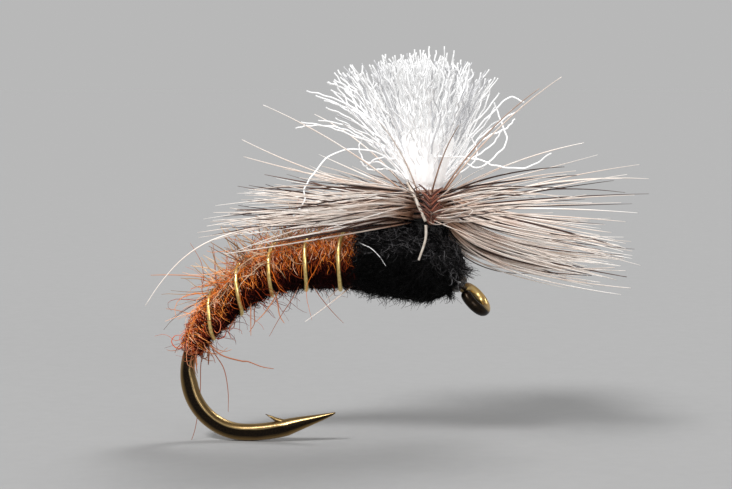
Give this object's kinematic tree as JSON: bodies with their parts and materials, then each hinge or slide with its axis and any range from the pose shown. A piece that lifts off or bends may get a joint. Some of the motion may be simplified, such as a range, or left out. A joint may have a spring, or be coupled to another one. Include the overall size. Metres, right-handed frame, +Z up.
{
  "type": "dry fly",
  "caption": "Parachute dry fly: a curved-shank hook dressed with a ribbed rust abdomen, a dark thorax, an upright white yarn post and a hackle feather wound round its base.",
  "frame": {"origin": "centre of the hook's eye", "axes": "+X forward past the eye, +Z up along the post, the hook's wire lies in the XZ plane"},
  "size_m": [0.0183, 0.0176, 0.0149],
  "materials": {
    "bronzed_wire": "bronzed, satin",
    "tying_thread": "waxed thread",
    "varnish": "clear gloss varnish over dark thread",
    "white_yarn": "fine synthetic fibres, slight sheen",
    "black_dubbing": "spun fur, dense and fuzzy",
    "rust_dubbing": "spun fur, rust to orange",
    "gold_wire": "bright drawn wire",
    "quill": "feather stem, horn-like",
    "feather": "barred feather barbs, dark to cream"
  },
  "bodies": {
    "root": {"hook": "bronzed_wire", "thread_base": "tying_thread", "whip_finish": "tying_thread", "head_cement": "varnish", "rib_tie_in": "tying_thread", "post_lashing_front": "tying_thread", "post_lashing_rear": "tying_thread", "post_binding": "tying_thread", "post_yarn": "white_yarn", "hackle_tie_off": "tying_thread", "thorax_dubbing": "black_dubbing", "abdomen_dubbing": "rust_dubbing", "rib_wire": "gold_wire", "hackle_quill": "quill", "hackle_barbs_1": "feather", "hackle_barbs_2": "feather", "hackle_barbs_3": "feather", "hackle_barbs_4": "feather", "hackle_barbs_5": "feather"}
  },
  "joints": []
}
